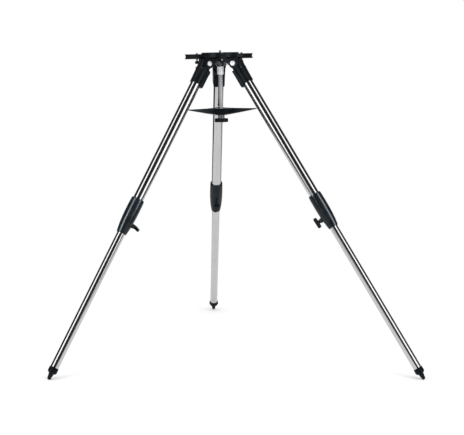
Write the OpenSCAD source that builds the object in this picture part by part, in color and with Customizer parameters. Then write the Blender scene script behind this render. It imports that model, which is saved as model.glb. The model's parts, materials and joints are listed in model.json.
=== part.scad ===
// Three-leg steel telescope tripod: head casting with captive mounting bolts, hinged telescoping
// legs, clamp sleeves with wing knobs, and a spreader tray on a central rod.
// +Z is up from the ground, and the origin is the centre of the head's flat top face.
// Head modules put z = 0 on the plane of the leg pivots. Leg modules put the pivot at the origin,
// x away from the tripod's middle, y along the pivot bolt and z up the leg.

/* [Head] */
// Radius of the round top plate
plate_r = 68; // [64:1:72]
// Thickness of the round top plate
plate_t = 17.5; // [16:0.5:18]
// Height of the top face above the leg pivots
face_z = 39.5; // [39:0.5:41]
// Distance from the middle to the end of each arm
arm_reach = 142; // [132:1:150]
// Thickness of each arm
arm_t = 18; // [15:1:18]
// Distance from the middle to each mounting bolt
bolt_circle_r = 94.5; // [90:0.5:98]
// Distance from the middle to each leg pivot
pivot_r = 63.4; // [62:0.2:66]

/* [Legs] */
// Angle between each leg and the head's axis
splay = 32.4; // [31:0.2:34]
// Pivot to foot tip, rear leg
reach_rear = 1228; // [1160:1:1290]
// Pivot to foot tip, left leg
reach_left = 1252; // [1160:1:1290]
// Pivot to foot tip, right leg
reach_right = 1307; // [1160:1:1310]
// Outer diameter of the upper tube
tube_d = 38.1; // [38.1:0.1:38.4]
// Outer diameter of the sliding lower tube
slide_d = 30; // [28:0.5:31]
// Wall of both tubes
tube_wall = 1.2; // [1:0.1:1.5]

/* [Clamps] */
// Pivot to the top of the clamp sleeve
sleeve_top = 554; // [540:1:570]
// Length of the clamp sleeve
sleeve_len = 135; // [125:1:145]
// Turn of the wing knob on the rear leg
wing_turn_rear = 30; // [0:5:180]
// Turn of the wing knob on the left leg
wing_turn_left = 70; // [0:5:180]
// Turn of the wing knob on the right leg
wing_turn_right = 5; // [0:5:180]

/* [Tray] */
// Distance from the middle to each tray tip
tray_reach = 140.8; // [130:0.2:140.8]
// Depth of the tray's top face below the pivots
tray_drop = 162; // [161:1:166]
// Distance from the middle to each hollow side of the tray
tray_waist = 42; // [38:1:43]

/* [Hidden] */
$fn = 72;
STEEL = [0.82, 0.83, 0.84];
BLACK = [0.13, 0.14, 0.15];
GREY = [0.66, 0.67, 0.69];

SIDES = ["rear", "left", "right"];
AZIMUTH = [90, 210, 330];
REACH = [reach_rear, reach_left, reach_right];
WING_TURN = [wing_turn_rear, wing_turn_left, wing_turn_right];
BOLT_SIDES = ["front", "right", "left"];
BOLT_AZIMUTH = [270, 30, 150];

touch = 0.05;                   // running clearance on a radius
gap = 0.4;                      // free space between parts that pass each other
past = 1;                       // how far a cut runs past the face that it opens, and one shape into another
edge = 1;                       // chamfer on the edges of the head and the knobs

// Head
plate_z = face_z - plate_t;
arm_top = 34.5;
arm_z = arm_top - arm_t;
arm_root = 15;
arm_root_w = 49;
arm_tip_r = 12;
arm_groove = 2;
arm_flange_t = 4;
hub_r = 24;
hub_z = 7;
ear_r = 18.5;
ear_t = 8;
tongue_w = 31.2;
ear_in = tongue_w / 2 + gap;
ear_out = ear_in + ear_t;
shoulder_reach = 80;
shoulder_top = 32;
pivot_bolt_r = 5;
pivot_bolt_end = 34;
washer_r = 10;
washer_t = 1.5;
spigot_t = 10;                  // how deep the rod socket sits in the hub
pin_r = 4;
pin_h = 7.5;
pin_shank_r = 3.2;
pin_end = hub_z + spigot_t + 1;
pin_recess = 0.5;               // depth of the ring sunk in the face around the pin

// Captive mounting bolts: the thread is thicker than the shank and hangs on the clip
stud_r = 4;
stud_h = 4;
stud_edge = 0.8;
shank_r = 3.4;
shank_end = 3;
stud_hole_r = 4.5;
bolt_lift = 6.5;
clip_r = 6.4;
clip_t = 1;
clip_seat_r = 7;
clip_seat = arm_top - 3;
thread_z = clip_seat + clip_t + 2 * touch;

// Central rod
rod_r = 7.5;
socket_r = 11.5;
cone_end = -12;
socket_end = -40;

// Tray, spacer and tension knob, as depths below the pivots
tray_tip_r = 5;
tray_tip_t = 3;
tray_bottom = 187;
tray_bottom_r = 21.5;
tray_rim = 3;
tray_dish = 1.6;
spacer_end = 198.5;
spacer_r = 12;
knob_end = 212.5;
knob_r = 24.5;
knob_floor = 2;
knob_lobes = 6;
insert_r = 11;

// Leg bracket
bracket_top = -6;
bracket_end = 84;
bracket_r_top = 25;
bracket_r_end = 22.3;
flange_top = 21;
flange_end = 90;
flange_w = 42;
flange_x = -22;
tube_top = 26;
tongue_r = 17;
inner_cut = 12;                 // the cone is cut away behind this plane, above the flange
side_screw = [16, 17.5, -27];   // seat of each side screw's head
inner_screw = [flange_x, 15, -31];
screw_shank_r = 2.5;
screw_depth = 3;
screw_head_t = 2.2;
side_head_r = 4.2;
inner_head_r = 5;
tongue_root = 8;                // how far the tongue runs down past the tube's top
ear_room = 1.8;                 // free space around the round of each ear

// Upper tube, clamp sleeve and wing knob
tube_r = tube_d / 2;
slide_r = slide_d / 2;
tube_end = sleeve_top + 86;
sleeve_end = sleeve_top + sleeve_len;
wing_s = sleeve_top + 92;
// Outline of the sleeve: radius, and share of its length up from the lower end
SLEEVE_OUTLINE = [[16.9, 0], [18.1, 0.01], [19.5, 0.075], [21.6, 0.185], [23.4, 0.335],
    [24.4, 0.5], [24.7, 0.7], [24.3, 0.89], [23.9, 0.97], [23, 1]];
boss_root_r = 12;
boss_r = 8.6;
boss_x = -31;
nut_x = -25;
nut_t = 5;
nut_r = 6.35;
screw_r = 4;
pad_r = 5;
pad_x = -17.7;
wing_span = 40;
wing_bar = 11;
wing_t = 10;
wing_stem_r = 7;
wing_x = -51.5;
screw_in_wing = 3;

// Lower tube and foot, measured up from the foot tip
slide_len = 717;
bush_len = 40;
cap_top = 45;
cap_end = 23;
cap_r = 16.6;
cap_foot_r = 12;
cap_core_r = 6;
cap_core_end = 12;
socket_floor = 31;
lug_w = 8;
lug_h = 9;
lug_proud = 1.4;
tip_r = 6.75;
tip_top_r = 9.6;

HEAD_NODES = ["head_casting", "centre_pin", "rod_socket", "spreader_rod", "pivot_bolts",
    "pivot_nuts", "pivot_washers", "tray", "tray_spacer", "tension_knob", "tension_insert"];
BOLT_PARTS = ["mount_bolt", "mount_knob", "mount_clip"];
LEG_PARTS = ["leg_bracket", "bracket_screws", "upper_tube", "clamp_sleeve", "clamp_nut",
    "clamp_pad", "wing_knob", "clamp_screw", "guide_bush", "lower_tube", "foot_cap", "foot_tip"];

// The legs may be drawn out to different lengths. The head then leans, and all three feet
// still stand on level ground.
function outward(a) = [cos(a), sin(a), 0];
function down_leg(a) = sin(splay) * outward(a) - [0, 0, cos(splay)];
function foot_centre(i) = pivot_r * outward(AZIMUTH[i]) + (REACH[i] - tip_r) * down_leg(AZIMUTH[i]);
ground_cross = cross(foot_centre(1) - foot_centre(0), foot_centre(2) - foot_centre(0));
ground_up = ground_cross / norm(ground_cross);
lean = acos(ground_up.z);
lean_axis = lean < 0.001 ? [1, 0, 0] : cross(ground_up, [0, 0, 1]);

module standing() {
    rotate(a = lean, v = lean_axis) translate([0, 0, -face_z]) children();
}

module on_leg(i) {
    standing() rotate([0, 0, AZIMUTH[i]]) translate([pivot_r, 0, 0]) rotate([0, -splay, 0]) children();
}

module at_bolt(i) {
    standing() rotate([0, 0, BOLT_AZIMUTH[i]]) translate([bolt_circle_r, 0, 0]) children();
}

// A cylinder along y, centred on the origin
module cross_rod(r, h) {
    rotate([90, 0, 0]) cylinder(r = r, h = h, center = true);
}

// A ring between two heights
module ring(r_out, r_in, z_low, z_high) {
    translate([0, 0, z_low]) difference() {
        cylinder(r = r_out, h = z_high - z_low);
        translate([0, 0, -past]) cylinder(r = r_in, h = z_high - z_low + 2 * past);
    }
}

// ---- Head ----

module arm_outline(inset) {
    polygon([[arm_root, inset - arm_root_w / 2], [arm_reach - arm_tip_r, inset - arm_tip_r],
        [arm_reach - arm_tip_r, arm_tip_r - inset], [arm_root, arm_root_w / 2 - inset]]);
    translate([arm_reach - arm_tip_r, 0]) circle(r = arm_tip_r - inset);
}

// An arm is an I in section: two flanges with a groove along each side
module arm() {
    translate([0, 0, arm_z]) linear_extrude(arm_flange_t) arm_outline(0);
    translate([0, 0, arm_z]) linear_extrude(arm_t) arm_outline(arm_groove);
    translate([0, 0, arm_top - arm_flange_t]) linear_extrude(arm_flange_t) arm_outline(0);
}

module ear_outline() {
    translate([pivot_r, 0]) circle(r = ear_r);
    polygon([[hub_r - 4, plate_z + past], [hub_r - 4, 12], [pivot_r - 10, -12], [pivot_r + 12, -4],
        [shoulder_reach - 2, plate_z + past]]);
}

module ear_pair() {
    for (side = [-1, 1]) {
        translate([0, side * (ear_in + ear_t / 2) + ear_t / 2, 0])
            rotate([90, 0, 0]) linear_extrude(ear_t) ear_outline();
    }
    translate([0, -ear_out, plate_z]) cube([shoulder_reach, 2 * ear_out, shoulder_top - plate_z]);
}

module head_casting() {
    color(BLACK) difference() {
        union() {
            translate([0, 0, plate_z]) cylinder(r = plate_r, h = plate_t - edge);
            translate([0, 0, face_z - edge]) cylinder(r1 = plate_r, r2 = plate_r - edge, h = edge);
            translate([0, 0, hub_z]) cylinder(r = hub_r, h = plate_z - hub_z + past);
            for (a = BOLT_AZIMUTH) rotate([0, 0, a]) arm();
            for (a = AZIMUTH) rotate([0, 0, a]) ear_pair();
        }
        translate([0, 0, hub_z - past]) cylinder(r = socket_r, h = spigot_t + past);
        translate([0, 0, hub_z]) cylinder(r = pin_shank_r, h = face_z);
        translate([0, 0, face_z - pin_recess]) cylinder(r = pin_r + edge, h = pin_recess + past);
        for (a = BOLT_AZIMUTH) rotate([0, 0, a]) translate([bolt_circle_r, 0, 0]) {
            translate([0, 0, arm_z - past]) cylinder(r = stud_hole_r, h = arm_t + 2 * past);
            translate([0, 0, clip_seat]) cylinder(r = clip_seat_r, h = arm_t);
        }
        on_each_pivot() cross_rod(pivot_bolt_r, 2 * ear_out + 2 * past);
    }
}

// A round end with a chamfered edge, which stands on a thinner shank
module shouldered_pin(r, shank_r, shank_z, end_z, top_z, chamfer) {
    translate([0, 0, shank_z]) cylinder(r = shank_r, h = end_z - shank_z + past);
    translate([0, 0, end_z]) cylinder(r = r, h = top_z - chamfer - end_z);
    translate([0, 0, top_z - chamfer]) cylinder(r1 = r, r2 = r - chamfer, h = chamfer);
}

module centre_pin() {
    color(STEEL) shouldered_pin(pin_r, pin_shank_r, pin_end, face_z, face_z + pin_h, edge);
}

// Spigot in the hub, cone and polished collar in one turned piece
module rod_socket() {
    color(STEEL) difference() {
        union() {
            translate([0, 0, hub_z]) cylinder(r = socket_r, h = spigot_t);
            translate([0, 0, cone_end]) cylinder(r1 = socket_r, r2 = hub_r - 1, h = hub_z - cone_end);
            translate([0, 0, socket_end + edge]) cylinder(r = socket_r, h = cone_end - socket_end - edge);
            translate([0, 0, socket_end]) cylinder(r1 = socket_r - edge, r2 = socket_r, h = edge);
        }
        translate([0, 0, socket_end - past]) cylinder(r = rod_r, h = hub_z - socket_end);
    }
}

module spreader_rod() {
    color(GREY) translate([0, 0, -knob_end + knob_floor])
        cylinder(r = rod_r, h = hub_z - past + knob_end - knob_floor);
}

module on_each_pivot() {
    for (a = AZIMUTH) rotate([0, 0, a]) translate([pivot_r, 0, 0]) children();
}

module pivot_bolts() {
    head_r = 8.5;
    head_t = 3.5;
    dome_r = 12;
    dome_h = dome_r - sqrt(dome_r * dome_r - head_r * head_r);
    color(STEEL) on_each_pivot() {
        translate([0, (ear_out + washer_t - pivot_bolt_end) / 2, 0])
            cross_rod(pivot_bolt_r, ear_out + washer_t + pivot_bolt_end);
        translate([0, ear_out + washer_t, 0]) rotate([-90, 0, 0]) {
            cylinder(r = head_r, h = head_t);
            translate([0, 0, head_t]) intersection() {
                translate([0, 0, dome_h - dome_r]) sphere(r = dome_r);
                cylinder(r = head_r, h = dome_h);
            }
        }
    }
}

module pivot_nuts() {
    nut_af_r = 9.24;
    nut_h = 7;
    color(STEEL) on_each_pivot() translate([0, -ear_out - washer_t, 0]) rotate([90, 0, 0]) difference() {
        intersection() {
            cylinder(r = nut_af_r, h = nut_h, $fn = 6);
            cylinder(r1 = nut_af_r + nut_h, r2 = nut_af_r - 0.9, h = nut_h);
        }
        translate([0, 0, -past]) cylinder(r = pivot_bolt_r, h = nut_h + 2 * past);
    }
}

module pivot_washers() {
    color(STEEL) on_each_pivot() for (side = [-1, 1])
        translate([0, side * (ear_out + washer_t / 2), 0]) rotate([90, 0, 0])
            ring(washer_r, pivot_bolt_r, -washer_t / 2, washer_t / 2);
}

// ---- Captive mounting bolts, hanging on their clips ----

module mount_bolt() {
    color(STEEL) shouldered_pin(stud_r, shank_r, shank_end, thread_z, arm_top + stud_h, stud_edge);
}

module mount_knob() {
    top = arm_z - bolt_lift - gap;
    knob_h = 10.5;
    neck_h = 3;
    neck_r = 5.6;
    grip_r = 7;
    flutes = 8;
    flute_r = 1.4;
    color(BLACK) difference() {
        union() {
            translate([0, 0, top - knob_h]) cylinder(r1 = grip_r - edge, r2 = grip_r, h = edge);
            translate([0, 0, top - knob_h + edge]) cylinder(r = grip_r, h = knob_h - edge - neck_h);
            translate([0, 0, top - neck_h]) cylinder(r1 = grip_r, r2 = neck_r, h = neck_h);
        }
        translate([0, 0, shank_end]) cylinder(r = shank_r, h = knob_h);
        for (k = [0:flutes - 1]) rotate([0, 0, k * 360 / flutes])
            translate([grip_r + flute_r / 2, 0, top - knob_h - past])
                cylinder(r = flute_r, h = knob_h - neck_h);
    }
}

module mount_clip() {
    color(STEEL) ring(clip_r, shank_r + touch, clip_seat + touch, clip_seat + touch + clip_t);
}

// ---- Tray and tension knob ----

// Three pointed arms with hollow sides. Each side is one arc that meets the tip arcs smoothly.
module tray_outline(inset) {
    tip_at = tray_reach - tray_tip_r;
    side_at = (tip_at * tip_at - pow(tray_waist - tray_tip_r, 2))
        / (tip_at + 2 * tray_tip_r - 2 * tray_waist);
    side_r = side_at - tray_waist + inset;
    difference() {
        union() {
            polygon([for (a = AZIMUTH) (tip_at + tray_tip_r) * [cos(a), sin(a)]]);
            for (a = AZIMUTH) rotate(a) translate([tip_at, 0]) circle(r = tray_tip_r - inset);
        }
        for (a = BOLT_AZIMUTH) rotate(a) translate([side_at, 0]) circle(r = side_r, $fn = 180);
        for (a = AZIMUTH) rotate(a) difference() {
            translate([tip_at, -tray_reach / 2]) square([tray_reach, tray_reach]);
            translate([tip_at, 0]) circle(r = tray_tip_r - inset);
        }
    }
}

module tray() {
    color(BLACK) difference() {
        intersection() {
            translate([0, 0, -tray_bottom]) linear_extrude(tray_bottom - tray_drop) tray_outline(0);
            union() {
                translate([0, 0, -tray_bottom])
                    cylinder(r1 = tray_bottom_r, r2 = tray_reach, h = tray_bottom - tray_drop - tray_tip_t);
                translate([0, 0, -tray_drop - tray_tip_t]) cylinder(r = tray_reach + past, h = tray_tip_t);
            }
        }
        translate([0, 0, -tray_drop - tray_dish]) linear_extrude(tray_dish + past) tray_outline(tray_rim);
        translate([0, 0, -tray_bottom - past]) cylinder(r = rod_r + touch, h = tray_bottom);
    }
}

// The spacer's flutes stop short of both ends
module tray_spacer() {
    flutes = 8;
    flute_r = 1.6;
    rim = 2;
    color(STEEL) difference() {
        translate([0, 0, -spacer_end]) cylinder(r = spacer_r, h = spacer_end - tray_bottom);
        translate([0, 0, -spacer_end - past]) cylinder(r = rod_r + touch, h = spacer_end);
        for (k = [0:flutes - 1]) rotate([0, 0, (k + 0.5) * 360 / flutes])
            translate([spacer_r + flute_r / 2, 0, -spacer_end + rim])
                cylinder(r = flute_r, h = spacer_end - tray_bottom - 2 * rim);
    }
}

module tension_knob() {
    top = -spacer_end - gap;
    rim = 1.5;
    lobe_cut_r = 8.5;
    color(BLACK) difference() {
        union() {
            translate([0, 0, -knob_end]) cylinder(r1 = knob_r - rim, r2 = knob_r, h = rim);
            translate([0, 0, -knob_end + rim]) cylinder(r = knob_r, h = knob_end + top - 2 * rim);
            translate([0, 0, top - rim]) cylinder(r1 = knob_r, r2 = knob_r - rim, h = rim);
        }
        for (k = [0:knob_lobes - 1]) rotate([0, 0, (k + 0.5) * 360 / knob_lobes])
            translate([knob_r + lobe_cut_r / 2, 0, -knob_end - past])
                cylinder(r = lobe_cut_r, h = knob_end + top + 2 * past);
        translate([0, 0, -knob_end + knob_floor]) cylinder(r = insert_r, h = knob_end);
    }
}

module tension_insert() {
    color(STEEL) ring(insert_r, rod_r + touch, -knob_end + knob_floor, -spacer_end - gap);
}

// ---- Legs: z = -s is the station s down the leg from its pivot ----

module leg_bracket() {
    cut = 40;
    color(BLACK) difference() {
        union() {
            difference() {
                translate([0, 0, -bracket_end])
                    cylinder(r1 = bracket_r_end, r2 = bracket_r_top, h = bracket_end - bracket_top);
                translate([-inner_cut - cut, -cut, -flange_top]) cube([cut, 2 * cut, 2 * cut]);
            }
            bracket_flange();
            cross_rod(tongue_r, tongue_w);
            translate([-tongue_r, -tongue_w / 2, -tube_top - tongue_root])
                cube([2 * tongue_r, tongue_w, tube_top + tongue_root]);
        }
        for (side = [-1, 1]) translate([0, side * (tongue_w + cut) / 2, 0])
            cross_rod(ear_r + ear_room, cut);
        translate([0, 0, -flange_end - past]) cylinder(r = tube_r, h = flange_end + past - tube_top);
        cross_rod(pivot_bolt_r + touch, tongue_w + past);
        on_side_screws() {
            cylinder(r = screw_shank_r, h = screw_depth + past);
            translate([0, 0, screw_depth]) cylinder(r = side_head_r + touch, h = cut);
        }
        translate([inner_screw.x - past, inner_screw.y, inner_screw.z])
            rotate([0, 90, 0]) cylinder(r = screw_shank_r, h = screw_depth + past);
    }
}

// Squared inner flange with round lower corners
module bracket_flange() {
    corner = 6;
    depth = 16;
    translate([flange_x, 0, 0]) rotate([0, 90, 0]) linear_extrude(depth) {
        translate([flange_top, -flange_w / 2]) square([flange_end - flange_top - corner, flange_w]);
        translate([flange_end - corner, corner - flange_w / 2]) square([corner, flange_w - 2 * corner]);
        for (side = [-1, 1]) translate([flange_end - corner, side * (flange_w / 2 - corner)])
            circle(r = corner);
    }
}

// Puts z along each side screw, with its tip at 0
module on_side_screws() {
    for (side = [-1, 1]) translate([side_screw.x, side * (side_screw.y - screw_depth), side_screw.z])
        rotate([-90 * side, 0, 0]) children();
}

module bracket_screws() {
    color(STEEL) {
        on_side_screws() {
            cylinder(r = screw_shank_r, h = screw_depth + screw_head_t);
            translate([0, 0, screw_depth])
                cylinder(r1 = side_head_r, r2 = side_head_r - edge, h = screw_head_t);
        }
        translate(inner_screw) rotate([0, 90, 0]) cylinder(r = screw_shank_r, h = screw_depth);
        translate(inner_screw - [screw_head_t, 0, 0]) rotate([0, 90, 0]) difference() {
            cylinder(r = inner_head_r, h = screw_head_t);
            translate([0, 0, -past]) cylinder(r = inner_head_r / 2, h = screw_head_t, $fn = 6);
        }
    }
}

module upper_tube() {
    color(STEEL) ring(tube_r, tube_r - tube_wall, -tube_end, -tube_top);
}

module clamp_sleeve() {
    deep = 15;
    color(BLACK) difference() {
        union() {
            rotate_extrude() polygon(concat([[0, -sleeve_end]],
                [for (p = SLEEVE_OUTLINE) [p[0], sleeve_len * p[1] - sleeve_end]], [[0, -sleeve_top]]));
            translate([0, 0, -wing_s]) rotate([0, -90, 0]) {
                cylinder(r1 = boss_root_r, r2 = boss_r, h = -boss_x - 4);
                cylinder(r = boss_r, h = -boss_x);
            }
        }
        translate([0, 0, -tube_end]) cylinder(r = tube_r, h = tube_end - sleeve_top + past);
        translate([0, 0, -sleeve_end - past]) cylinder(r = slide_r + touch, h = sleeve_len);
        translate([boss_x - past, 0, -wing_s]) rotate([0, 90, 0]) cylinder(r = screw_r + touch, h = deep);
        translate([nut_x, 0, -wing_s]) rotate([0, 90, 0]) cylinder(r = nut_r, h = nut_t, $fn = 6);
        translate([pad_x, 0, -wing_s]) rotate([0, 90, 0]) cylinder(r = pad_r, h = deep);
    }
}

module clamp_nut() {
    color(GREY) translate([nut_x, 0, -wing_s]) rotate([0, 90, 0]) difference() {
        cylinder(r = nut_r, h = nut_t, $fn = 6);
        translate([0, 0, -past]) cylinder(r = screw_r + touch, h = nut_t + 2 * past);
    }
}

module clamp_pad() {
    color(BLACK) translate([pad_x, 0, -wing_s]) rotate([0, 90, 0])
        cylinder(r = pad_r, h = -pad_x - slide_r - touch);
}

module wing_knob(turn) {
    stem_x = boss_x - gap;
    bar_x = wing_x + wing_bar;
    corner = wing_bar / 2;
    color(BLACK) translate([0, 0, -wing_s]) rotate([turn, 0, 0]) difference() {
        union() {
            translate([stem_x, 0, 0]) rotate([0, -90, 0])
                cylinder(r1 = wing_stem_r, r2 = wing_stem_r - edge, h = stem_x - bar_x + past);
            translate([0, wing_t / 2, 0]) rotate([90, 0, 0]) linear_extrude(wing_t) {
                translate([wing_x, corner - wing_span / 2]) square([wing_bar, wing_span - 2 * corner]);
                for (end = [-1, 1]) translate([wing_x + corner, end * (wing_span / 2 - corner)])
                    circle(r = corner);
            }
        }
        translate([bar_x - screw_in_wing, 0, 0]) rotate([0, 90, 0]) cylinder(r = screw_r, h = -wing_x);
    }
}

module clamp_screw() {
    tip_x = pad_x - touch;
    end_x = wing_x + wing_bar - screw_in_wing;
    color(STEEL) translate([end_x, 0, -wing_s]) rotate([0, 90, 0]) cylinder(r = screw_r, h = tip_x - end_x);
}

// ---- Sliding lower leg: stations from the foot tip upwards ----

module guide_bush(reach) {
    color(BLACK) ring(tube_r - tube_wall - touch, slide_r, slide_len - bush_len - reach, slide_len - reach);
}

module lower_tube(reach) {
    color(STEEL) ring(slide_r, slide_r - tube_wall, socket_floor - reach, slide_len - reach);
}

module foot_cap(reach) {
    color(BLACK) translate([0, 0, -reach]) difference() {
        union() {
            rotate_extrude() polygon([[0, cap_core_end], [cap_core_r, cap_core_end], [cap_core_r, cap_end],
                [cap_foot_r, cap_end], [cap_r - 0.8, cap_end + 4], [cap_r, cap_end + 6],
                [cap_r, cap_top - edge], [cap_r - edge, cap_top], [0, cap_top]]);
            translate([-lug_w / 2, -cap_r - lug_proud, cap_end + 6])
                cube([lug_w, 2 * (cap_r + lug_proud), lug_h]);
        }
        translate([0, 0, socket_floor]) cylinder(r = slide_r, h = cap_top);
    }
}

// Rubber nose: a cone that ends in a ball
module foot_tip(reach) {
    ball_top = tip_r + 1.2;
    ball_r = sqrt(tip_r * tip_r - pow(ball_top - tip_r, 2));
    color(BLACK) translate([0, 0, -reach]) difference() {
        union() {
            translate([0, 0, tip_r]) sphere(r = tip_r);
            translate([0, 0, ball_top]) cylinder(r1 = ball_r, r2 = tip_top_r, h = cap_end - ball_top);
        }
        translate([0, 0, cap_core_end]) cylinder(r = cap_core_r, h = cap_end);
    }
}

// ---- Drawing ----

standing() head_casting();
standing() centre_pin();
standing() rod_socket();
standing() spreader_rod();
standing() pivot_bolts();
standing() pivot_nuts();
standing() pivot_washers();
standing() tray();
standing() tray_spacer();
standing() tension_knob();
standing() tension_insert();

for (i = [0:2]) {
    at_bolt(i) mount_bolt();
    at_bolt(i) mount_knob();
    at_bolt(i) mount_clip();
}

for (i = [0:2]) {
    on_leg(i) leg_bracket();
    on_leg(i) bracket_screws();
    on_leg(i) upper_tube();
    on_leg(i) clamp_sleeve();
    on_leg(i) clamp_nut();
    on_leg(i) clamp_pad();
    on_leg(i) wing_knob(WING_TURN[i]);
    on_leg(i) clamp_screw();
    on_leg(i) guide_bush(REACH[i]);
    on_leg(i) lower_tube(REACH[i]);
    on_leg(i) foot_cap(REACH[i]);
    on_leg(i) foot_tip(REACH[i]);
}
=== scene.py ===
"""Looks of the steel telescope tripod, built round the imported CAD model."""
import json
import math

import bmesh
import bpy
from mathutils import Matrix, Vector


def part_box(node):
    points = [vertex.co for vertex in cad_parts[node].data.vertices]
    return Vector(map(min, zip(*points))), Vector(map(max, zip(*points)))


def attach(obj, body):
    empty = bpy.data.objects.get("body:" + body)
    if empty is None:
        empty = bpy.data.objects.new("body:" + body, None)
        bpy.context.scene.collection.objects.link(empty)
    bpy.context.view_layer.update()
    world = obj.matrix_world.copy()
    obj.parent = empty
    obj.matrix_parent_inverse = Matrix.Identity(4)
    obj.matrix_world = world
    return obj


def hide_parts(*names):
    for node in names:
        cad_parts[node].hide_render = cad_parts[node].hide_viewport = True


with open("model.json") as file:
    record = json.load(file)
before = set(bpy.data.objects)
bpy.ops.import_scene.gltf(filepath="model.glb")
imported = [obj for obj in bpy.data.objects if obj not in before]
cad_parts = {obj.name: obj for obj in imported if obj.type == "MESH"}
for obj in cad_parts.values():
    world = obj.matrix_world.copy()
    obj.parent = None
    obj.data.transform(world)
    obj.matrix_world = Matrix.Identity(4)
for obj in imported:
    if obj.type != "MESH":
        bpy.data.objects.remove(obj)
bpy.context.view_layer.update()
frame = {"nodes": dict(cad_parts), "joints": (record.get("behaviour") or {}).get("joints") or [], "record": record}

# ---- Places, all read from the frame ----

SIDES = ("rear", "left", "right")
BOLT_SIDES = ("front", "right", "left")
JOINTS = {joint["name"]: joint for joint in frame["joints"]}
MOUNTS = {mount["name"]: mount for mount in frame["record"]["mounts"]}
HEAD_UP = Vector(MOUNTS["head_face"]["axis"]).normalized()
FLOOR_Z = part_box("foot_tip_left")[0].z
MM = 0.001


def leg_axis(side):
    """Unit vector from the head to the foot of a leg."""
    return Vector(JOINTS["extend_" + side]["axis"]).normalized()


# ---- Camera ----

CAMERA_PLACE = (-0.34654, -4.94863, 0.17663)
CAMERA_TURN = (81.0537, -1.0497, -4.4694)
CAMERA_LENS = 105.673


def make_camera():
    data = bpy.data.cameras.new("camera")
    data.sensor_width = 36
    data.lens = CAMERA_LENS
    data.clip_end = 60
    camera = bpy.data.objects.new("camera", data)
    camera.location = CAMERA_PLACE
    camera.rotation_euler = [math.radians(a) for a in CAMERA_TURN]
    bpy.context.collection.objects.link(camera)
    bpy.context.scene.camera = camera


# ---- Material helpers ----

class Shader:
    """A material whose nodes are added one line at a time."""

    def __init__(self, name, base, metallic, roughness):
        self.material = bpy.data.materials.new(name)
        self.material.use_nodes = True
        self.tree = self.material.node_tree
        self.bsdf = self.tree.nodes["Principled BSDF"]
        self.bsdf.inputs["Base Color"].default_value = (*base, 1)
        self.bsdf.inputs["Metallic"].default_value = metallic
        self.bsdf.inputs["Roughness"].default_value = roughness
        self.height = None

    def node(self, kind, **values):
        made = self.tree.nodes.new(kind)
        for key, value in values.items():
            setattr(made, key, value)
        return made

    def link(self, out, into):
        self.tree.links.new(out, into)

    def coords(self, stretch=(1, 1, 1), up=None):
        """Object coordinates, turned so that Z runs along the direction up, then stretched."""
        source = self.node("ShaderNodeTexCoord")
        turn = self.node("ShaderNodeMapping")
        turn.inputs["Scale"].default_value = stretch
        out = source.outputs["Object"]
        if up is not None:
            first = self.node("ShaderNodeMapping")
            aligned = up.rotation_difference(Vector((0, 0, 1))).to_euler()
            first.inputs["Rotation"].default_value = aligned
            self.link(out, first.inputs["Vector"])
            out = first.outputs["Vector"]
        self.link(out, turn.inputs["Vector"])
        return turn.outputs["Vector"]

    def noise(self, vector, scale, detail=4.0, rough=0.55):
        made = self.node("ShaderNodeTexNoise")
        made.inputs["Scale"].default_value = scale
        made.inputs["Detail"].default_value = detail
        made.inputs["Roughness"].default_value = rough
        self.link(vector, made.inputs["Vector"])
        return made.outputs["Fac"]

    def remap(self, value, low, high, from_low=0.3, from_high=0.7):
        made = self.node("ShaderNodeMapRange")
        made.inputs["From Min"].default_value = from_low
        made.inputs["From Max"].default_value = from_high
        made.inputs["To Min"].default_value = low
        made.inputs["To Max"].default_value = high
        self.link(value, made.inputs["Value"])
        return made.outputs["Result"]

    def roughness(self, value, low, high, from_low=0.3, from_high=0.7):
        self.link(self.remap(value, low, high, from_low, from_high), self.bsdf.inputs["Roughness"])

    def colour(self, value, dark, light, from_low=0.3, from_high=0.7):
        ramp = self.node("ShaderNodeValToRGB")
        ramp.color_ramp.elements[0].position = from_low
        ramp.color_ramp.elements[0].color = (*dark, 1)
        ramp.color_ramp.elements[1].position = from_high
        ramp.color_ramp.elements[1].color = (*light, 1)
        self.link(value, ramp.inputs["Fac"])
        self.link(ramp.outputs["Color"], self.bsdf.inputs["Base Color"])

    def bump(self, value, distance, strength=1.0):
        made = self.node("ShaderNodeBump")
        made.inputs["Distance"].default_value = distance
        made.inputs["Strength"].default_value = strength
        self.link(value, made.inputs["Height"])
        if self.height is not None:
            self.link(self.height, made.inputs["Normal"])
        self.height = made.outputs["Normal"]
        self.link(self.height, self.bsdf.inputs["Normal"])


DRAW_MARKS = (900, 900, 6)      # marks per metre across the tube and along it
RING_MARKS = (8, 8, 1400)


def tube_material(side):
    """Polished stainless tube with faint draw marks along the leg."""
    dark = (0.485, 0.487, 0.495)
    light = (0.52, 0.52, 0.525)
    shader = Shader("chrome_tube_look_" + side, light, 1.0, 0.14)
    draw = shader.noise(shader.coords(DRAW_MARKS, leg_axis(side)), 1.0, 3.0)
    shader.roughness(draw, 0.11, 0.17)
    cloud = shader.noise(shader.coords(), 14.0, 3.0)
    shader.colour(cloud, dark, light)
    shader.bump(draw, 0.0015 * MM, 0.5)
    return shader.material


def plated_material(name, base, metallic, rough_low, rough_high):
    """Plated steel of turned parts and fasteners, a little cloudy."""
    dark = (0.9 * base, 0.9 * base, 0.92 * base)
    light = (base, base, 1.01 * base)
    shader = Shader(name, light, metallic, rough_low)
    grain = shader.noise(shader.coords(), 900.0, 2.0)
    shader.roughness(grain, rough_low, rough_high)
    wear = shader.noise(shader.coords(), 60.0, 3.0)
    shader.colour(wear, dark, light)
    shader.bump(grain, 0.01 * MM, 0.4)
    return shader.material


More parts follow.
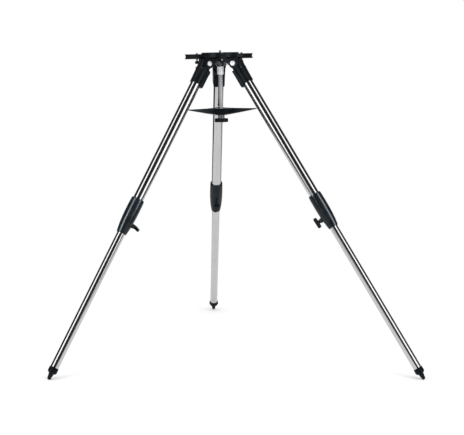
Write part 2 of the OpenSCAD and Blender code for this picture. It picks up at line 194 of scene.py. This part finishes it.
def rod_material():
    """Satin rod with fine turning rings round it."""
    dark = (0.47, 0.47, 0.49)
    light = (0.56, 0.56, 0.58)
    shader = Shader("grey_rod_look", light, 0.6, 0.45)
    rings = shader.noise(shader.coords(RING_MARKS, HEAD_UP), 1.0, 2.0)
    shader.roughness(rings, 0.40, 0.52)
    shader.colour(rings, dark, light)
    shader.bump(rings, 0.01 * MM, 0.5)
    return shader.material


COOL_TINT = (0.74, 0.91, 1.0, 1)    # of the sheen on everything black
BLACK_GLOSS = 0.2
CAP_GLOSS = 0.1
BLACK = (0.0014, 0.0020, 0.0028)
NYLON = (0.045, 0.045, 0.047)


def moulded_material(name, base, rough_low, rough_high, grain_size, grain_depth, gloss=BLACK_GLOSS):
    """Black moulded plastic: fine grain and soft mottling."""
    shader = Shader(name, base, 0.0, rough_low)
    shader.bsdf.inputs["Specular IOR Level"].default_value = gloss
    shader.bsdf.inputs["Specular Tint"].default_value = COOL_TINT
    grain = shader.noise(shader.coords(), 1.0 / grain_size, 2.0)
    cloud = shader.noise(shader.coords(), 35.0, 4.0)
    shader.roughness(cloud, rough_low, rough_high)
    shader.colour(cloud, base, [min(1.0, c * 1.5 + 0.004) for c in base])
    shader.bump(grain, grain_depth, 0.6)
    return shader.material


def cast_material():
    """Textured black paint on the head casting."""
    dark = (0.003, 0.0035, 0.005)
    light = (0.007, 0.008, 0.010)
    shader = Shader("cast_black_look", light, 0.0, 0.38)
    shader.bsdf.inputs["Specular IOR Level"].default_value = BLACK_GLOSS
    shader.bsdf.inputs["Specular Tint"].default_value = COOL_TINT
    orange_peel = shader.noise(shader.coords(), 700.0, 3.0)
    speck = shader.noise(shader.coords(), 2600.0, 1.0)
    cloud = shader.noise(shader.coords(), 28.0, 4.0)
    shader.roughness(cloud, 0.30, 0.46)
    shader.colour(cloud, dark, light)
    shader.bump(orange_peel, 0.12 * MM, 0.55)
    shader.bump(speck, 0.04 * MM, 0.4)
    return shader.material


def rubber_material():
    """Matt rubber, greyer where it has scuffed the ground."""
    dark = (0.004, 0.004, 0.0045)
    scuffed = (0.014, 0.0138, 0.0135)
    shader = Shader("foot_rubber_look", dark, 0.0, 0.7)
    shader.bsdf.inputs["Specular IOR Level"].default_value = 0.2
    scuff = shader.noise(shader.coords(), 180.0, 5.0, 0.7)
    shader.roughness(scuff, 0.55, 0.85)
    shader.colour(scuff, dark, scuffed, 0.5, 0.8)
    shader.bump(scuff, 0.15 * MM, 0.6)
    return shader.material


def brass_material():
    """Brass, stained in patches."""
    dark = (0.60, 0.43, 0.19)
    light = (0.76, 0.60, 0.32)
    shader = Shader("brass_look", light, 1.0, 0.25)
    stain = shader.noise(shader.coords(), 220.0, 4.0)
    shader.roughness(stain, 0.18, 0.36)
    shader.colour(stain, dark, light)
    shader.bump(stain, 0.02 * MM, 0.4)
    return shader.material


def enamel_material():
    """Glossy black enamel on the cone under the hub."""
    dark = (0.012, 0.0125, 0.015)
    light = (0.018, 0.0185, 0.021)
    shader = Shader("socket_black_look", light, 0.0, 0.22)
    shader.bsdf.inputs["Specular IOR Level"].default_value = 0.8
    flow = shader.noise(shader.coords(), 160.0, 3.0)
    shader.roughness(flow, 0.16, 0.28)
    shader.colour(flow, dark, light)
    shader.bump(flow, 0.04 * MM, 0.5)
    return shader.material


# ---- Pieces ----

def body_of(node):
    """The body that a CAD node belongs to."""
    bodies = frame["record"]["behaviour"]["bodies"]
    return next(body for body, nodes in bodies.items() if node in nodes)


def set_material(piece, material):
    piece.data.materials.clear()
    piece.data.materials.append(material)


SAME_POINT = 0.002 * MM         # points closer than this are joined
SAME_FACE = 0.6                 # degrees between faces that count as one flat face
SHARP = 32                      # degrees from which an edge is rounded and stays sharp in shading


def clean_copy(node):
    """The CAD node's mesh as one joined surface, with flat faces merged."""
    mesh = frame["nodes"][node].data.copy()
    work = bmesh.new()
    work.from_mesh(mesh)
    bmesh.ops.remove_doubles(work, verts=work.verts, dist=SAME_POINT)
    bmesh.ops.dissolve_limit(
        work, angle_limit=math.radians(SAME_FACE), verts=work.verts, edges=work.edges)
    work.to_mesh(mesh)
    work.free()
    return mesh


def refine(node, material, width):
    """Rounds the edges of a CAD node, to the given width, in a copy that stands for it."""
    piece = bpy.data.objects.new(node + "_look", clean_copy(node))
    bpy.context.collection.objects.link(piece)
    bevel = piece.modifiers.new("edges", "BEVEL")
    bevel.width = width
    bevel.segments = 2
    bevel.limit_method = "ANGLE"
    bevel.angle_limit = math.radians(SHARP)
    bevel.harden_normals = False
    bevel.use_clamp_overlap = True
    bevel.miter_outer = "MITER_ARC"
    apply_modifiers(piece)
    smooth(piece, SHARP)
    level = piece.modifiers.new("normals", "WEIGHTED_NORMAL")
    level.keep_sharp = True
    level.weight = 100
    apply_modifiers(piece)
    stand_for(piece, node, material)
    return piece


def stand_for(piece, node, material):
    """Lets a piece take the place of a CAD node, with the node's body."""
    set_material(piece, material)
    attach(piece, body_of(node))
    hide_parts(node)


def apply_modifiers(piece):
    graph = bpy.context.evaluated_depsgraph_get()
    made = bpy.data.meshes.new_from_object(piece.evaluated_get(graph))
    piece.modifiers.clear()
    piece.data = made


def smooth(piece, angle):
    """Smooth shading that keeps edges sharper than the angle, in degrees."""
    piece.data.polygons.foreach_set("use_smooth", [True] * len(piece.data.polygons))
    piece.data.set_sharp_from_angle(angle=math.radians(angle))


def recolour(node, material):
    """Keeps a CAD node's shape and gives it a better material."""
    set_material(frame["nodes"][node], material)


CONE_SHARE = 0.6                # of the socket's height that is enamelled


def dress_rod_socket(metal, enamel):
    """The turned socket: enamelled cone above, bare collar below."""
    piece = refine("rod_socket", metal, 0.35 * MM)
    piece.data.materials.append(enamel)
    low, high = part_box("rod_socket")
    cone_bottom = high.z - CONE_SHARE * (high.z - low.z)
    for face in piece.data.polygons:
        if face.center.z > cone_bottom:
            face.material_index = 1


THREAD_PITCH = 1.25 * MM
THREAD_DEPTH = 0.7 * MM
SHANK_CHAMFER = 0.3 * MM
END_BAND = 0.1 * MM             # vertices this close to a bolt's end give the end's radius
THREAD_ROWS = 10                # rows of points to each turn of the thread
RUN_IN = 1 / 4                  # share of the thread over which it deepens from the shank
RUN_OUT = 1 / 6                 # and over which it fades towards the tip
CREST_SHARE = 0.98              # vertices beyond this share of the greatest radius are thread
BOLT_POINTS = 48                # points round the bolt
BOLT_SHARP = 40                 # degrees


def bolt_rows(low, thread_low, thread_high, high, shank_r, crest_r, tip_r):
    """Height, radius and depth of thread of each ring of points, from the bottom up."""
    rows = [(low, shank_r - SHANK_CHAMFER, 0.0),
            (low + SHANK_CHAMFER, shank_r, 0.0),
            (thread_low, shank_r, 0.0)]
    count = max(2, round((thread_high - thread_low) / THREAD_PITCH * THREAD_ROWS))
    for k in range(count + 1):
        share = k / count
        fade = min(1.0, share / RUN_IN, (1.0 - share) / RUN_OUT)
        rows.append((thread_low + share * (thread_high - thread_low), crest_r, fade * THREAD_DEPTH))
    rows.append((high, tip_r, 0.0))
    return rows


def join_rings(work, rings):
    """Faces between each ring of points and the next."""
    for below, above in zip(rings, rings[1:]):
        for k in range(len(below)):
            following = (k + 1) % len(below)
            work.faces.new((below[k], below[following], above[following], above[k]))


def measure_round(node, centre, axis):
    """Height along an axis and distance from it of each vertex of a CAD node."""
    measured = []
    for vertex in frame["nodes"][node].data.vertices:
        along = (vertex.co - centre).dot(axis)
        measured.append((along, (vertex.co - centre - along * axis).length))
    return measured


def ring_of(work, centre, axis, t, radius_at, count):
    """A ring of points round an axis; radius_at gives the radius at each angle."""
    across = axis.orthogonal().normalized()
    beside = axis.cross(across)
    ring = []
    for k in range(count):
        angle = 2 * math.pi * k / count
        spoke = math.cos(angle) * across + math.sin(angle) * beside
        ring.append(work.verts.new(centre + t * axis + radius_at(angle) * spoke))
    return ring


def finish_round(work, node, material, angle):
    """Makes a piece of the joined rings; edges sharper than the angle, in degrees, stay sharp."""
    mesh = bpy.data.meshes.new(node + "_look")
    work.to_mesh(mesh)
    work.free()
    piece = bpy.data.objects.new(node + "_look", mesh)
    bpy.context.collection.objects.link(piece)
    smooth(piece, angle)
    stand_for(piece, node, material)


TUBE_POINTS = 160
TUBE_LIP = 0.25 * MM            # rounding on the rims of a tube
TUBE_SHARP = 30                 # degrees


def round_tube(node, side, material):
    """A tube with rounded rims, smooth enough for its reflections to stay straight."""
    axis = leg_axis(side)
    centre = Vector(JOINTS["fold_" + side]["pos_m"])
    measured = measure_round(node, centre, axis)
    low = min(measured)[0]
    high = max(measured)[0]
    outer = max(r for _, r in measured)
    inner = min(r for _, r in measured)
    outline = [(low + TUBE_LIP, outer), (high - TUBE_LIP, outer), (high, outer - TUBE_LIP),
               (high, inner + TUBE_LIP), (high - TUBE_LIP, inner), (low + TUBE_LIP, inner),
               (low, inner + TUBE_LIP), (low, outer - TUBE_LIP)]
    work = bmesh.new()
    rings = [ring_of(work, centre, axis, t, lambda angle, r=r: r, TUBE_POINTS) for t, r in outline]
    join_rings(work, rings + rings[:1])
    bmesh.ops.recalc_face_normals(work, faces=work.faces)
    finish_round(work, node, material, TUBE_SHARP)


def threaded_bolt(side, material):
    """A mounting bolt with its thread cut above the plain shank."""
    node = "mount_bolt_" + side
    axis = Vector(JOINTS["bolt_turn_" + side]["axis"]).normalized()
    centre = Vector(JOINTS["bolt_turn_" + side]["pos_m"])
    measured = measure_round(node, centre, axis)
    low = min(measured)[0]
    high = max(measured)[0]
    crest_r = max(r for _, r in measured)
    thread = [t for t, r in measured if r > CREST_SHARE * crest_r]
    shank_r = max(r for t, r in measured if t < low + END_BAND)
    tip_r = max(r for t, r in measured if t > high - END_BAND)
    work = bmesh.new()
    rings = []
    for t, r, depth in bolt_rows(low, min(thread), max(thread), high, shank_r, crest_r, tip_r):
        def cut(angle):
            return r - depth * (0.5 - 0.5 * math.cos(2 * math.pi * t / THREAD_PITCH - angle))
        rings.append(ring_of(work, centre, axis, t, cut, BOLT_POINTS))
    join_rings(work, rings)
    work.faces.new(list(reversed(rings[0])))
    work.faces.new(rings[-1])
    finish_round(work, node, material, BOLT_SHARP)


# ---- Stage ----

FLOOR_R = 1.55
FLOOR_POINTS = 96
FLOOR_DARK = (0.855, 0.855, 0.86)
FLOOR_LIGHT = (0.865, 0.865, 0.87)
STRIP_DISTANCE = 3.2
STRIP_HEIGHT = 4.8
STRIP_MIDDLE_Z = 1.90


def make_floor():
    """A round of pale paper, so that bright metal reflects a white floor with an end to it."""
    mesh = bpy.data.meshes.new("floor")
    work = bmesh.new()
    bmesh.ops.create_circle(work, cap_ends=True, radius=FLOOR_R, segments=FLOOR_POINTS)
    work.to_mesh(mesh)
    work.free()
    floor = bpy.data.objects.new("floor", mesh)
    floor.location = (0, 0, FLOOR_Z)
    bpy.context.collection.objects.link(floor)
    shader = Shader("floor_paper", FLOOR_LIGHT, 0.0, 0.9)
    paper = shader.noise(shader.coords(), 4.0, 2.0)
    shader.colour(paper, FLOOR_DARK, FLOOR_LIGHT)
    shader.bsdf.inputs["Specular IOR Level"].default_value = 0.1
    set_material(floor, shader.material)


def make_softbox(name, place, aim, width, height, radiance):
    """A panel of the given brightness that reflections see and the camera doesn't."""
    data = bpy.data.lights.new(name, "AREA")
    data.shape = "RECTANGLE"
    data.size = width
    data.size_y = height
    data.energy = radiance * math.pi * width * height
    lamp = bpy.data.objects.new(name, data)
    lamp.location = place
    towards = Vector(aim) - Vector(place)
    lamp.rotation_euler = towards.to_track_quat("-Z", "Y").to_euler()
    lamp.visible_camera = False
    bpy.context.collection.objects.link(lamp)
    return lamp


def light_only(lamp, pieces):
    """Lets a lamp light just these pieces."""
    lit = bpy.data.collections.new(lamp.name + "_lights")
    for piece in pieces:
        lit.objects.link(piece)
    lamp.light_linking.receiver_collection = lit


def make_strip(name, azimuth, lean, width, radiance):
    """A tall softbox in front of the object that leans sideways; azimuth 0 is the camera's side."""
    turn = math.radians(azimuth)
    x = STRIP_DISTANCE * math.sin(turn)
    y = -STRIP_DISTANCE * math.cos(turn)
    place = (x, y, STRIP_MIDDLE_Z)
    lamp = make_softbox(name, place, (0, 0, STRIP_MIDDLE_Z), width, STRIP_HEIGHT, radiance)
    lamp.rotation_euler.rotate_axis("Z", math.radians(lean))
    return lamp


def math_node(tree, operation, first, second=None):
    made = tree.nodes.new("ShaderNodeMath")
    made.operation = operation
    tree.links.new(first, made.inputs[0])
    if isinstance(second, (int, float)):
        made.inputs[1].default_value = second
    elif second is not None:
        tree.links.new(second, made.inputs[1])
    return made.outputs[0]


def step_node(tree, value, edge, first, last):
    """Goes smoothly from first to last as the value crosses the edge, a pair of values."""
    made = tree.nodes.new("ShaderNodeMapRange")
    made.interpolation_type = "SMOOTHSTEP"
    made.inputs["From Min"].default_value = edge[0]
    made.inputs["From Max"].default_value = edge[1]
    made.inputs["To Min"].default_value = first
    made.inputs["To Max"].default_value = last
    tree.links.new(value, made.inputs["Value"])
    return made.outputs["Result"]


def background_node(tree, strength):
    """A plain white sky of the given strength."""
    made = tree.nodes.new("ShaderNodeBackground")
    made.inputs["Color"].default_value = (1, 1, 1, 1)
    made.inputs["Strength"].default_value = strength
    return made


# What reflections see. Edges are given as turns, in radians from straight behind the object,
# or as heights from 0, the horizon, to 1, overhead.
ROOM_GREY = 0.03
OPEN_LIGHT = 1.05               # on matt surfaces, from everywhere
WALL_LIGHT = 1.0                # white wall behind the object
WALL_EDGE = (0.42, 0.62)
WALL_TOP = (0.30, 0.42)
RETURN_LIGHT = 0.42             # the wall's return on the right
RETURN_START = (0.0, 0.1)
RETURN_END = (1.15, 1.30)
SCREEN_LIGHT = 0.75             # low screens in front, on both sides of the camera
SCREEN_START = (1.95, 2.15)
SCREEN_END = (2.70, 2.90)
SCREEN_TOP = (0.04, 0.12)
BACK_LIGHT = 1.6                # a pair of high panels behind the object
BACK_START = (0.12, 0.18)
BACK_END = (0.65, 0.75)
BACK_LOW = (0.46, 0.52)
BACK_TOP = (0.82, 0.88)
CEILING_LIGHT = 0.5
CEILING_EDGE = (0.82, 0.90)


def product_node(tree, first, *others):
    for other in others:
        first = math_node(tree, "MULTIPLY", first, other)
    return first


def studio_light(tree):
    """Brightness of the studio in each direction: a dim room, its walls, screens and panels."""
    coords = tree.nodes.new("ShaderNodeTexCoord")
    split = tree.nodes.new("ShaderNodeSeparateXYZ")
    tree.links.new(coords.outputs["Generated"], split.inputs["Vector"])
    height = split.outputs["Z"]
    across = math_node(tree, "ABSOLUTE", split.outputs["X"])
    turn = math_node(tree, "ARCTAN2", across, split.outputs["Y"])
    right_turn = math_node(tree, "ARCTAN2", split.outputs["X"], split.outputs["Y"])
    wall = step_node(tree, turn, WALL_EDGE, WALL_LIGHT, 0.0)
    return_wall = product_node(
        tree,
        step_node(tree, right_turn, RETURN_START, 0.0, RETURN_LIGHT),
        step_node(tree, right_turn, RETURN_END, 1.0, 0.0))
    wall = math_node(tree, "MAXIMUM", wall, return_wall)
    wall = product_node(tree, wall, step_node(tree, height, WALL_TOP, 1.0, 0.0))
    screen = product_node(
        tree,
        step_node(tree, turn, SCREEN_START, 0.0, SCREEN_LIGHT),
        step_node(tree, turn, SCREEN_END, 1.0, 0.0),
        step_node(tree, height, SCREEN_TOP, 1.0, 0.0))
    back = product_node(
        tree,
        step_node(tree, turn, BACK_START, 0.0, BACK_LIGHT),
        step_node(tree, turn, BACK_END, 1.0, 0.0),
        step_node(tree, height, BACK_LOW, 0.0, 1.0),
        step_node(tree, height, BACK_TOP, 1.0, 0.0))
    light = math_node(tree, "MAXIMUM", wall, step_node(tree, height, CEILING_EDGE, 0.0, CEILING_LIGHT))
    light = math_node(tree, "MAXIMUM", light, back)
    light = math_node(tree, "MAXIMUM", light, screen)
    return math_node(tree, "MAXIMUM", light, ROOM_GREY)


def make_world():
    """White behind the object and on matt surfaces; bright metal reflects the studio."""
    world = bpy.data.worlds.new("studio")
    bpy.context.scene.world = world
    world.use_nodes = True
    tree = world.node_tree
    tree.nodes.clear()
    studio = tree.nodes.new("ShaderNodeBackground")
    tree.links.new(studio_light(tree), studio.inputs["Color"])
    white = background_node(tree, 1.0)
    soft = background_node(tree, OPEN_LIGHT)
    path = tree.nodes.new("ShaderNodeLightPath")
    unseen = tree.nodes.new("ShaderNodeMixShader")
    tree.links.new(path.outputs["Is Glossy Ray"], unseen.inputs["Fac"])
    tree.links.new(soft.outputs["Background"], unseen.inputs[1])
    tree.links.new(studio.outputs["Background"], unseen.inputs[2])
    seen = tree.nodes.new("ShaderNodeMixShader")
    tree.links.new(path.outputs["Is Camera Ray"], seen.inputs["Fac"])
    tree.links.new(unseen.outputs["Shader"], seen.inputs[1])
    tree.links.new(white.outputs["Background"], seen.inputs[2])
    out = tree.nodes.new("ShaderNodeOutputWorld")
    tree.links.new(seen.outputs["Shader"], out.inputs["Surface"])
    world.cycles.sampling_method = "NONE"


def make_lights(sleeves):
    """Two tall strips on everything, and two brighter ones that only streak the sleeves."""
    make_strip("strip_left", azimuth=-55, lean=10, width=1.65, radiance=2.3)
    make_strip("strip_right", azimuth=43, lean=0, width=1.80, radiance=2.2)
    for name, azimuth in (("edge_left", -52), ("edge_right", 52)):
        light_only(make_strip(name, azimuth, lean=0, width=1.1, radiance=20.0), sleeves)
    bpy.context.scene.view_settings.view_transform = "Standard"
    bpy.context.scene.view_settings.look = "None"


# ---- The whole model ----

def dress():
    """Gives every node its look; returns the sleeves, which get lights of their own."""
    bright = plated_material("bright_steel_look", 0.93, 0.40, 0.30, 0.42)
    dull = plated_material("dull_steel_look", 0.34, 0.80, 0.36, 0.50)
    blackened = plated_material("blackened_steel_look", 0.03, 0.5, 0.40, 0.55)
    polished = plated_material("polished_collar_look", 0.97, 0.25, 0.20, 0.32)
    brass = brass_material()
    rubber = rubber_material()
    bracket = moulded_material("bracket_black_look", BLACK, 0.34, 0.46, 1.1 * MM, 0.08 * MM)
    sleeve = moulded_material("sleeve_black_look", BLACK, 0.15, 0.22, 1.1 * MM, 0.04 * MM)
    knob = moulded_material("knob_black_look", BLACK, 0.30, 0.42, 0.9 * MM, 0.08 * MM)
    tray = moulded_material("tray_black_look", BLACK, 0.28, 0.42, 1.0 * MM, 0.10 * MM)
    cap = moulded_material("cap_black_look", BLACK, 0.36, 0.50, 0.9 * MM, 0.08 * MM, CAP_GLOSS)
    nylon = moulded_material("nylon_black_look", NYLON, 0.40, 0.55, 1.2 * MM, 0.06 * MM)
    refine("head_casting", cast_material(), 0.9 * MM)
    refine("tray", tray, 0.7 * MM)
    refine("tension_knob", knob, 0.8 * MM)
    recolour("pivot_bolts", bright)
    recolour("pivot_nuts", bright)
    recolour("pivot_washers", blackened)
    recolour("centre_pin", dull)
    recolour("tray_spacer", dull)
    recolour("spreader_rod", rod_material())
    recolour("tension_insert", brass)
    dress_rod_socket(polished, enamel_material())
    for side in BOLT_SIDES:
        threaded_bolt(side, dull)
        recolour("mount_clip_" + side, blackened)
        recolour("mount_knob_" + side, knob)
    sleeves = []
    for side in SIDES:
        tube = tube_material(side)
        refine("leg_bracket_" + side, bracket, 1.0 * MM)
        sleeves.append(refine("clamp_sleeve_" + side, sleeve, 0.8 * MM))
        refine("wing_knob_" + side, knob, 1.2 * MM)
        refine("foot_cap_" + side, cap, 0.6 * MM)
        round_tube("upper_tube_" + side, side, tube)
        round_tube("lower_tube_" + side, side, tube)
        recolour("bracket_screws_" + side, blackened)
        recolour("clamp_nut_" + side, brass)
        recolour("clamp_pad_" + side, nylon)
        recolour("clamp_screw_" + side, bright)
        recolour("guide_bush_" + side, nylon)
        recolour("foot_tip_" + side, rubber)
    return sleeves


make_camera()
clamp_sleeves = dress()
make_floor()
make_world()
make_lights(clamp_sleeves)
